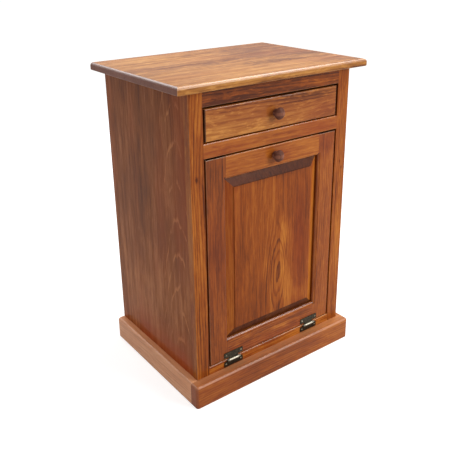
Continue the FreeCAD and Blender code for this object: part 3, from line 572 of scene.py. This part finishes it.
chestnut = (paint(196, 118, 44), paint(154, 77, 25), paint(82, 37, 16), paint(148, 60, 22), paint(70, 38, 28))
lacquered("frame_stile_left", chestnut, "Z", (-0.150, -0.300, 0.0), gapped=True, joined="x+z-z+y+", patches=(
    spot(-0.230, 0.597, 0.004, 0.006, 0.7), spot(-0.232, 0.45, 0.02, 0.16, -0.1),
    spot(-0.225, 0.20, 0.03, 0.16, 0.2)), ring_width=0.0042, streaks=0.45, rings=0.55, coat=0.12, bead=0.12)
lacquered("frame_stile_right", chestnut, "Z", (0.170, -0.150, 1.0), gapped=True, joined="x-z-z+y+", patches=(
    spot(0.235, 0.531, 0.002, 0.004, 0.6), spot(0.228, 0.549, 0.002, 0.005, 0.5),
    spot(0.228, 0.35, 0.03, 0.15, -0.15)), streaks=0.35, coat=0.12, bead=0.12)
lacquered("frame_top_rail", chestnut, "X", (0.3, -0.150, 0.70), gapped=True, joined="x-x+z+y+", tone=0.4, patches=(
    spot(0.12, 0.775, 0.07, 0.016, -0.42), spot(-0.02, 0.79, 0.05, 0.01, -0.15)), blotches=0.3, flecks=0.3)
lacquered("frame_mid_rail", chestnut, "X", (-0.2, -0.100, 0.60), gapped=True, joined="x-x+", tone=-0.18,
          patches=(spot(0.15, 0.66, 0.08, 0.03, 0.15, 0.4),), rings=0.2)
lacquered("frame_bottom_rail", chestnut, "X", (0.1, -0.150, -0.10), gapped=True, joined="x-x+", tone=-0.24,
          rings=0.3, streaks=0.8, blotches=0.3, flecks=0.4, wear=0.3)
print("face frame dressed")

# %% [markdown]
# The base boards have more lacquer than the rest, and their rounded upper edges shine. Their ledges are painted
# pale, which is painted light, and the board at the left is painted paler than the others, a painted sheen. The
# one in front gets lighter to the right.

# %% Base boards
base_stain = chestnut[:4] + (paint(172, 94, 56),)
lacquered("base_front_board", base_stain, "X", (0.5, -0.15, -0.06), tone=0.06, streaks=0.2, rings=0.2, coat=0.25,
          wear=0.2, blur=0.34,
          patches=(spot(0.05, 0.02, 0.10, 0.02, 0.06), spot(-0.2, 0.03, 0.06, 0.02, -0.1),
                   spot(0.25, 0.04, 0.13, 0.06, -0.32)),
          scuffs=(((0, -0.18, 0.064), (1.0, 0.04, 0.006), 0.4),))
# The left base board's paler stain is a painted sheen.
tan = (paint(248, 188, 140), paint(232, 160, 112), paint(186, 118, 78), paint(222, 142, 104), paint(172, 94, 56))
for side, stain, heart_x in (("left", tan, -0.18), ("right", base_stain, 0.18)):
    lacquered("base_side_board_" + side, stain, "Y", (heart_x, 0.1, -0.04), streaks=0.3, ring_width=0.005,
              coat=0.25, wear=0.2, blur=0.3, scuffs=(((heart_x, 0, 0.064), (1.0, 1.0, 0.006), 0.4),))
print("base dressed")

# %% [markdown]
# The drawer front is a golden board with a wavy figure, darker along its top and at its right end.

# %% Drawer front
golden = (paint(206, 138, 66), paint(164, 95, 40), paint(84, 42, 22), paint(150, 70, 34), paint(70, 38, 28))
lacquered("drawer_front", golden, "X", (0.9, -0.150, 0.69), gapped=True, tone=-0.15, patches=(
    spot(0.10, 0.742, 0.12, 0.016, 0.4), spot(0.16, 0.700, 0.06, 0.02, 0.35, 0.3),
    spot(-0.05, 0.752, 0.16, 0.007, 0.35), spot(-0.02, 0.722, 0.10, 0.008, 0.2),
    spot(-0.16, 0.70, 0.05, 0.03, -0.1)), wander=0.10, ring_width=0.007, taper=0.03, rings=0.4, flecks=0.4)
print("drawer front dressed")

# %% [markdown]
# The door is a frame of two stiles and two rails round a raised panel. The left stile is the darkest board, the
# rail with the knob is plain and golden, and the lower rail is dark with golden streaks.

# %% Door frame
lacquered("door_stile_left", chestnut, "Z", (-0.100, -0.130, 0.2), gapped=True, joined="x+", tone=0.12, patches=(
    spot(-0.18, 0.60, 0.03, 0.05, 0.15), spot(-0.18, 0.42, 0.03, 0.10, 0.12, 0.2),
    spot(-0.19, 0.15, 0.03, 0.07, 0.04)), streaks=0.26, blotches=0.18, rings=0.15, flecks=0.1)
lacquered("door_stile_right", chestnut, "Z", (0.260, -0.130, 0.6), gapped=True, joined="x-", tone=-0.05, patches=(
    spot(0.18, 0.61, 0.03, 0.03, 0.3, 0.3), spot(0.17, 0.2, 0.03, 0.1, 0.1)), streaks=0.15, blotches=0.15,
    rings=0.2)
lacquered("door_top_rail", chestnut, "X", (0.2, -0.100, 0.50), gapped=True, joined="x-x+z-", tone=-0.2,
          patches=(spot(0.02, 0.612, 0.035, 0.012, 0.25, 0.4),), rings=0.2, streaks=0.15, blotches=0.15)
lacquered("door_bottom_rail", chestnut, "X", (0.6, -0.140, 0.06), gapped=True, joined="x-x+z+", tone=0.06, patches=(
    spot(0.03, 0.115, 0.03, 0.006, -0.35), spot(-0.12, 0.12, 0.015, 0.01, -0.35),
    spot(-0.04, 0.105, 0.03, 0.004, -0.3), spot(0.1, 0.13, 0.05, 0.01, 0.2)), streaks=0.3, flecks=0.3)
print("door frame dressed")

# %% [markdown]
# The raised panel is cut close to a branch, and an eye of nested ovals stands in its middle, with a golden place
# at its right and a red band beyond that. A golden strip down the right bevel is painted light, where the stile
# shades it.

# %% Raised panel
lacquered("door_panel", chestnut, "Z", (0.016, -0.115, 0.0), tone=0.07, patches=(
    spot(0.040, 0.390, 0.018, 0.040, -0.38), spot(0.085, 0.38, 0.025, 0.16, 0.12, 0.38),
    spot(-0.03, 0.50, 0.05, 0.06, -0.1), spot(-0.07, 0.2, 0.05, 0.08, 0.12), spot(0.055, 0.22, 0.02, 0.06, -0.25),
    spot(0.038, 0.27, 0.013, 0.08, -0.18), spot(0.0, 0.56, 0.2, 0.01, 0.15),
    # The second spot here is a painted highlight on the right bevel.
    spot(-0.137, 0.36, 0.012, 0.3, -0.2, 0.15), spot(0.140, 0.36, 0.010, 0.4, -0.5),
    spot(0.10, 0.195, 0.03, 0.03, -0.3)),
    ring_width=0.0048, taper=0.02, wander=0.03, ripple=0.007, eye_place=(0.064, 0.0, 0.285),
    eye_size=(0.2, 0.036, 0.1), eye_lift=-0.028, rings=0.12, streaks=0.26, blotches=0.2, flecks=0.1, wear=0.0,
    coat=0.1, bead=0.1)
print("panel dressed")

# %% [markdown]
# The knobs are turned from a darker wood and left nearly matt.

# %% Knobs
walnut = (paint(156, 102, 78), paint(132, 82, 63), paint(92, 56, 45), paint(120, 70, 54), paint(112, 68, 54))
for knob in ("drawer_knob", "door_knob"):
    lacquered(knob, walnut, "Z", (0.03, -0.16, 0.3), coat=0.08, bead=0.08, ring_width=0.004, wear=0.0)
print("knobs dressed")

# %% [markdown]
# What the front hides is bare pine: the cleats, the runners, the drawer's box and the battens. It has the same
# figure as the stained boards, without stain or lacquer, and no two neighbours in the list have the same shade. The
# grain follows the length of each piece, so the longest side of its box says which way to turn the log.

# %% Bare pine inside
bare = (paint(236, 206, 158), paint(218, 182, 128), paint(184, 138, 88), paint(214, 164, 112), paint(196, 154, 108))
inner_boards = [name for name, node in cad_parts.items()
                if any(slot.name.startswith("inner_wood") for slot in node.data.materials)]
for order, board in enumerate(sorted(inner_boards)):
    low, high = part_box(board)
    size = [top - bottom for bottom, top in zip(low, high)]
    middle = [(top + bottom) / 2 for bottom, top in zip(low, high)]
    log_heart = (middle[0] + 0.05, middle[1] + 0.04 + 0.003 * order, middle[2] - 0.06)
    finish, shader = board_finish(board, bare, "XYZ"[size.index(max(size))], log_heart, tone=0.04 * (order % 5 - 2),
                                  wear=0.0, rings=0.45, streaks=0.25, blotches=0.2)
    shader.inputs["Specular IOR Level"].default_value = 0.2
    dress(finish, board)
print("bare pine boards:", len(inner_boards))

# %% [markdown]
# The back, the floor, the drawer's bottom and the bin's carrier are birch plywood. Its faces are peeled from the
# log, so their rings lie in wide lazy waves, and its edges show the plies, pale and brown in turn with a dark glue
# line between them. The group counts plies from one face of the sheet and finds the edges by the normal.

# %% Group for plywood
plywood_sheet, given, gives = new_group("plywood_sheet", {
    "Vector": ("Vector", None),
    "Figure": ("Vector", None),
    "Through": ("Vector", (0, 0, 1)),
    "Face": ("Float", 0.0),
    "Ply": ("Float", 0.0015),
}, {"Color": "Color", "Roughness": "Float", "Height": "Float"})
tree = plywood_sheet
peel = noise(tree, given["Figure"], (4, 4, 1.4), 2.0, 0.45)
band = maths(tree, "FRACT", maths(tree, "MULTIPLY", peel, 14.0))
band = maths(tree, "SUBTRACT", ease(tree, band, 0.1, 0.85), ease(tree, band, 0.85, 1.0))
flecks = ease(tree, noise(tree, given["Figure"], (420, 420, 26), 2.0), 0.52, 0.68)
clouds = ease(tree, noise(tree, given["Figure"], (9, 9, 4), 3.0), 0.3, 0.7)
veneer = mix(tree, maths(tree, "MULTIPLY", band, 0.7), paint(226, 200, 158), paint(206, 172, 126))
veneer = mix(tree, maths(tree, "MULTIPLY", flecks, 0.35), veneer, paint(176, 138, 96))
veneer = mix(tree, maths(tree, "MULTIPLY", clouds, 0.25), veneer, paint(214, 176, 136))
deep = maths(tree, "SUBTRACT", vectors(tree, "DOT_PRODUCT", given["Vector"], given["Through"]), given["Face"])
ply_count = maths(tree, "DIVIDE", deep, given["Ply"])
pair_part = maths(tree, "FRACT", maths(tree, "MULTIPLY", ply_count, 0.5))
odd = maths(tree, "FLOOR", maths(tree, "MULTIPLY", pair_part, 2.0))
from_middle = maths(tree, "SUBTRACT", maths(tree, "FRACT", ply_count), 0.5)
glue = ease(tree, maths(tree, "ABSOLUTE", from_middle), 0.36, 0.48)
plies = mix(tree, odd, paint(224, 194, 148), paint(176, 134, 90))
plies = mix(tree, maths(tree, "MULTIPLY", glue, 0.7), plies, paint(110, 74, 46))
through = vectors(tree, "DOT_PRODUCT", add_node(tree, "TexCoord").outputs["Normal"], given["Through"])
on_edge = maths(tree, "SUBTRACT", 1.0, ease(tree, maths(tree, "ABSOLUTE", through), 0.4, 0.7))
tree.links.new(mix(tree, on_edge, veneer, plies), gives["Color"])
tree.links.new(maths(tree, "MULTIPLY_ADD", flecks, 0.15, 0.55), gives["Roughness"])
tree.links.new(maths(tree, "MULTIPLY_ADD", band, 0.5, maths(tree, "MULTIPLY", flecks, -0.5)), gives["Height"])
print("plywood_sheet:", len(tree.nodes), "nodes")

# %% [markdown]
# Each sheet lies its own way, and the thinnest side of its box is the way through the plies. On the upright sheets
# the figure runs up, and on the level ones from side to side, so the point that gives the figure is turned first.

# %% Plywood sheets
sheets = {"back_panel": 3, "floor_panel": 5, "drawer_bottom": 3, "bin_shelf": 9, "bin_cheek_left": 11,
          "bin_cheek_right": 11}
for sheet, plies in sheets.items():
    low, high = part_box(sheet)
    size = [top - bottom for bottom, top in zip(low, high)]
    thin = size.index(min(size))
    material, tree, shader, point = new_material(sheet + "_plywood")
    turned = add_node(tree, "Mapping", {"Vector": point, "Rotation": grain_turn["X" if thin == 2 else "Z"]},
                      vector_type="TEXTURE")
    sheet_look = place_group(tree, plywood_sheet, {
        "Vector": point, "Figure": turned.outputs[0], "Through": grain_axis["XYZ"[thin]], "Face": low[thin],
        "Ply": size[thin] / plies})
    link_look(tree, shader, sheet_look["Color"], sheet_look, strength=0.2, depth=0.0002)
    shader.inputs["Specular IOR Level"].default_value = 0.25
    dress(material, sheet)
print("plywood sheets:", len(sheets))

# %% [markdown]
# The hinges are antique bronze: nearly black leaves with a little olive where the colour has rubbed thin, and a
# barrel that turning has polished bright. The barrel is found by its distance from the hinge's axis, which is the
# middle of the pin. Metal shows what it mirrors, so a dark base colour alone makes the leaves dark.

# %% Hinge leaves
pin_low, pin_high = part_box("hinge_pin_left")
axis_y = (pin_low[1] + pin_high[1]) / 2
axis_z = (pin_low[2] + pin_high[2]) / 2
polish_radius = 0.0029
polish_fade = 0.0005

aged_metal, given, gives = new_group("aged_metal", {
    "Vector": ("Vector", None),
    "Dark": ("Color", (0.03, 0.03, 0.02, 1)),
    "Rubbed": ("Color", (0.2, 0.18, 0.12, 1)),
    "Rubbing": ("Float", 0.4),
}, {"Color": "Color", "Roughness": "Float", "Height": "Float"})
tree = aged_metal
mottle = ease(tree, noise(tree, given["Vector"], (260, 260, 260), 4.0, 0.6), 0.35, 0.7)
scratch = ease(tree, noise(tree, given["Vector"], (60, 2200, 2200), 2.0), 0.55, 0.75)
rubbed = maths(tree, "MULTIPLY_ADD", scratch, 0.3, maths(tree, "MULTIPLY", mottle, given["Rubbing"]), clamp=True)
tree.links.new(mix(tree, rubbed, given["Dark"], given["Rubbed"]), gives["Color"])
tree.links.new(maths(tree, "MULTIPLY_ADD", mottle, -0.18, 0.5), gives["Roughness"])
tree.links.new(maths(tree, "MULTIPLY_ADD", mottle, 0.6, maths(tree, "MULTIPLY", scratch, -0.4)), gives["Height"])


def metal(name, dark, rubbed, rubbing, barrel=0.0):
    """An aged metal; barrel is how much of the polish round the hinge axis shows."""
    material, tree, shader, point = new_material(name)
    aged = place_group(tree, aged_metal, {"Vector": point, "Dark": dark, "Rubbed": rubbed, "Rubbing": rubbing})
    colour = aged["Color"]
    if barrel:
        from_axis = vectors(tree, "MULTIPLY", vectors(tree, "SUBTRACT", point, (0, axis_y, axis_z)), (0, 1, 1))
        polished = ease(tree, vectors(tree, "LENGTH", from_axis), polish_radius + polish_fade, polish_radius)
        colour = mix(tree, maths(tree, "MULTIPLY", polished, barrel), colour, paint(182, 176, 158))
    link_look(tree, shader, colour, aged, strength=0.3, depth=0.0001)
    shader.inputs["Metallic"].default_value = 1.0
    return material


bronze_dark = paint(44, 41, 34)
bronze_rubbed = paint(104, 94, 74)
dress(metal("bronze_door_leaf", bronze_dark, bronze_rubbed, 0.35, barrel=0.9),
      "hinge_door_leaf_left", "hinge_door_leaf_right")
dress(metal("bronze_case_leaf", bronze_dark, bronze_rubbed, 0.35, barrel=0.25),
      "hinge_case_leaf_left", "hinge_case_leaf_right")
print("hinge axis at y", round(axis_y, 5), "z", round(axis_z, 5))

# %% [markdown]
# Each hinge leaf is held by two small round-headed screws with a cross recess. The CAD model has them as plain
# domes, so they are modelled again here. The recess could be cut with a boolean, but a grid of three by three cells
# has the cross in it already: its five cells are pushed down, and the grid's outline is bridged to rings of the
# same number of edges, one after another down to the end of the shank.

# %% One hinge screw
head_height = 0.0011
head_radius = 0.0024
shank_radius = 0.0014
slot_arm = 0.0013
slot_width = 0.0007
slot_depth = 0.0006
door_screws_low, door_screws_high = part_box("hinge_door_screws")
shank_length = door_screws_high[1] - door_screws_low[1] - head_height


def add_ring(shape, radius, height):
    """Twelve edges in a ring at a height, with a vertex in line with each corner of the grid."""
    place = Matrix.Translation((0, 0, height)) @ Matrix.Rotation(math.radians(15), 4, "Z")
    ring = bmesh.ops.create_circle(shape, cap_ends=False, segments=12, radius=radius, matrix=place)["verts"]
    return list(dict.fromkeys(edge for vertex in ring for edge in vertex.link_edges))


def vertices_of(geometry):
    return [element for element in geometry if isinstance(element, bmesh.types.BMVert)]


shape = bmesh.new()
bmesh.ops.create_grid(shape, x_segments=3, y_segments=3, size=slot_arm)
# The inner lines of the grid lie at a third of the arm, and go to half the slot's width.
for axis in (0, 1):
    inner = [vertex for vertex in shape.verts if abs(vertex.co[axis]) < slot_arm / 2]
    squeeze = [1.0, 1.0, 1.0]
    squeeze[axis] = 1.5 * slot_width / slot_arm
    bmesh.ops.scale(shape, vec=squeeze, verts=inner)
bmesh.ops.translate(shape, vec=(0, 0, head_height), verts=shape.verts)
outline = [edge for edge in shape.edges if edge.is_boundary]
cross = [face for face in shape.faces if min(abs(part) for part in face.calc_center_median()[:2]) < slot_width / 4]
sunk = bmesh.ops.extrude_face_region(shape, geom=cross)["geom"]
bmesh.ops.translate(shape, vec=(0, 0, -slot_depth), verts=vertices_of(sunk))
bmesh.ops.delete(shape, geom=cross, context="FACES")
dome = [(0.0017, head_height * 0.95), (0.0021, head_height * 0.6), (head_radius, 0.0)]
for radius, height in dome + [(shank_radius, 0.0), (shank_radius, -shank_length)]:
    ring = add_ring(shape, radius, height)
    bmesh.ops.bridge_loops(shape, edges=outline + ring)
    outline = ring
bmesh.ops.edgeloop_fill(shape, edges=outline)
bmesh.ops.recalc_face_normals(shape, faces=shape.faces)
hinge_screw = bpy.data.meshes.new("hinge_screw")
shape.to_mesh(hinge_screw)
shape.free()
print("hinge screw:", len(hinge_screw.vertices), "vertices,", len(hinge_screw.polygons), "faces")

# %% [markdown]
# The one screw is set at both ends of each leaf, its head on the leaf's face and each turned as it stopped when it
# was tight. A new piece needs the same few things every time: a mesh with smooth curves and crisp corners, a
# finish, the body that it moves with, and the name of the CAD piece that it stands for.

# %% Screws in the hinge leaves
crisp_angle = math.radians(35)
screw_inset = 0.006
turn_per_metre = 30


def new_piece(name, shape, finish, body, node):
    """Makes a piece of a finished bmesh, in place of a CAD piece."""
    mesh = bpy.data.meshes.new(name)
    shape.to_mesh(mesh)
    shape.free()
    mesh.shade_smooth()
    mesh.set_sharp_from_angle(angle=crisp_angle)
    mesh.materials.append(finish)
    piece = bpy.data.objects.new(name, mesh)
    scene.collection.objects.link(piece)
    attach(piece, body)
    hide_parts(node)
    print(name, "has", len(mesh.polygons), "faces")


bronze_screw = metal("bronze_screw", paint(92, 84, 68), paint(190, 180, 156), 0.8)
for body in ("door", "case"):
    shape = bmesh.new()
    for side in ("left", "right"):
        low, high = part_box("hinge_" + body + "_leaf_" + side)
        screws_low, screws_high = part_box("hinge_" + body + "_screws")
        for x in (low[0] + screw_inset, high[0] - screw_inset):
            before = len(shape.verts)
            shape.from_mesh(hinge_screw)
            shape.verts.ensure_lookup_table()
            seat = (x, screws_low[1] + head_height, (screws_low[2] + screws_high[2]) / 2)
            turn = Matrix.Rotation(math.pi / 2, 4, "X") @ Matrix.Rotation(turn_per_metre * x, 4, "Z")
            bmesh.ops.transform(shape, matrix=Matrix.Translation(seat) @ turn, verts=shape.verts[before:])
    new_piece(body + "_hinge_screws", shape, bronze_screw, body, "hinge_" + body + "_screws")

# %% [markdown]
# The pins have dark heads, and the strike plate, the screws of the knobs and those inside are plain zinc-plated
# steel.

# %% Pins, inner screws and strike plate
dress(metal("bronze_pin", bronze_dark, bronze_rubbed, 0.6), "hinge_pin_left", "hinge_pin_right")
dress(metal("zinc_plate", paint(150, 152, 154), paint(206, 208, 210), 0.6), "strike_plate", "strike_screws",
      "catch_screws", "top_screws", "drawer_knob_screw", "door_knob_screw", "drawer_stop_screw",
      "batten_screws_left", "batten_screws_right")
print("metal dressed")

# %% [markdown]
# The magnetic catch and the bin are moulded plastic. A fine leathery grain from the mould's etching breaks up
# their sheen. Things dropped into the bin scuff its walls with pale scratches.

# %% Moulded plastic
moulded_plastic, given, gives = new_group("moulded_plastic", {
    "Vector": ("Vector", None),
    "Plain": ("Color", (0.4, 0.4, 0.4, 1)),
    "Scuffed": ("Color", (0.6, 0.6, 0.6, 1)),
    "Scuffs": ("Float", 0.5),
}, {"Color": "Color", "Roughness": "Float", "Height": "Float"})
tree = moulded_plastic
etching = noise(tree, given["Vector"], (900, 900, 900), 2.0)
cloud = ease(tree, noise(tree, given["Vector"], (7, 7, 7), 4.0), 0.3, 0.7)
scuff = ease(tree, noise(tree, given["Vector"], (240, 240, 16), 3.0), 0.6, 0.74)
scuff = maths(tree, "MULTIPLY", maths(tree, "MULTIPLY", scuff, cloud), given["Scuffs"])
tinted = maths(tree, "MULTIPLY_ADD", cloud, 0.25, scuff, clamp=True)
tree.links.new(mix(tree, tinted, given["Plain"], given["Scuffed"]), gives["Color"])
tree.links.new(maths(tree, "MULTIPLY_ADD", scuff, 0.25, 0.4), gives["Roughness"])
tree.links.new(etching, gives["Height"])


def plastic(name, plain, scuffed, scuffs):
    material, tree, shader, point = new_material(name)
    look = place_group(tree, moulded_plastic, {
        "Vector": point, "Plain": plain, "Scuffed": scuffed, "Scuffs": scuffs})
    link_look(tree, shader, look["Color"], look, strength=0.15, depth=0.0002)
    return material


dress(plastic("catch_plastic_finish", paint(86, 62, 46), paint(126, 98, 78), 0.3), "magnetic_catch")
bin_finish = plastic("bin_plastic_finish", paint(176, 177, 174), paint(204, 204, 200), 0.6)
print("plastic dressed")

# %% [markdown]
# The bin is a thin moulded tub that widens upwards, with a stacking step and a rim that rolls out and down, which
# makes its edge stiff. The CAD tub is plain, so a new one stands for it. A tub like this could be lofted from
# curves. Here a square gets its corners rounded by a vertex bevel, and its outline is extruded from level to level,
# up the inside, over the rim and down again. At the end this skin gets the wall's thickness on its hidden side.

# %% Waste bin
low, high = (Vector(corner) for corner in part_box("waste_bin"))
tall = high.z - low.z
wall = 0.0025
rim_width = 0.008
lean = 0.022
step_width = 0.003
corner_radius = 0.026
foot_inset = rim_width + lean + step_width + wall
half_x = (high.x - low.x) / 2
half_y = (high.y - low.y) / 2

shape = bmesh.new()
bmesh.ops.create_grid(shape, x_segments=1, y_segments=1, size=1.0)
bmesh.ops.scale(shape, vec=(half_x - foot_inset, half_y - foot_inset, 1), verts=shape.verts)
bmesh.ops.bevel(shape, geom=shape.verts[:], offset=corner_radius, segments=8, profile=0.5, affect="VERTICES",
                material=-1)
bmesh.ops.translate(shape, vec=(0, 0, wall), verts=shape.verts)
step = 0.8 * tall
# A level is a height above the bin's foot and an inset from the outline of its rim.
levels = [(0.0035, 0.0340), (0.0065, 0.0325), (step, 0.0167), (step + step_width, 0.0137), (tall - 0.006, 0.0107),
          (tall - 0.0015, 0.0098), (tall, 0.0075), (tall, 0.004), (tall - 0.0012, 0.001), (tall - 0.0035, 0.0),
          (tall - 0.014, 0.0)]
last_height = wall
last_inset = foot_inset
for height, inset in levels:
    outline = [edge for edge in shape.edges if edge.is_boundary]
    raised = vertices_of(bmesh.ops.extrude_edge_only(shape, edges=outline)["geom"])
    wider = ((half_x - inset) / (half_x - last_inset), (half_y - inset) / (half_y - last_inset), 1)
    bmesh.ops.scale(shape, vec=wider, verts=raised)
    bmesh.ops.translate(shape, vec=(0, 0, height - last_height), verts=raised)
    last_height = height
    last_inset = inset
bmesh.ops.recalc_face_normals(shape, faces=shape.faces)
bmesh.ops.solidify(shape, geom=shape.faces[:], thickness=wall)
bmesh.ops.translate(shape, vec=((low.x + high.x) / 2, (low.y + high.y) / 2, low.z), verts=shape.verts)
bin_low = [min(vertex.co[axis] for vertex in shape.verts) for axis in range(3)]
bin_high = [max(vertex.co[axis] for vertex in shape.verts) for axis in range(3)]
print("bin from", [round(value, 4) for value in bin_low], "to", [round(value, 4) for value in bin_high])
print("CAD bin from", [round(value, 4) for value in low], "to", [round(value, 4) for value in high])
new_piece("bin_tub", shape, bin_finish, "door", "waste_bin")
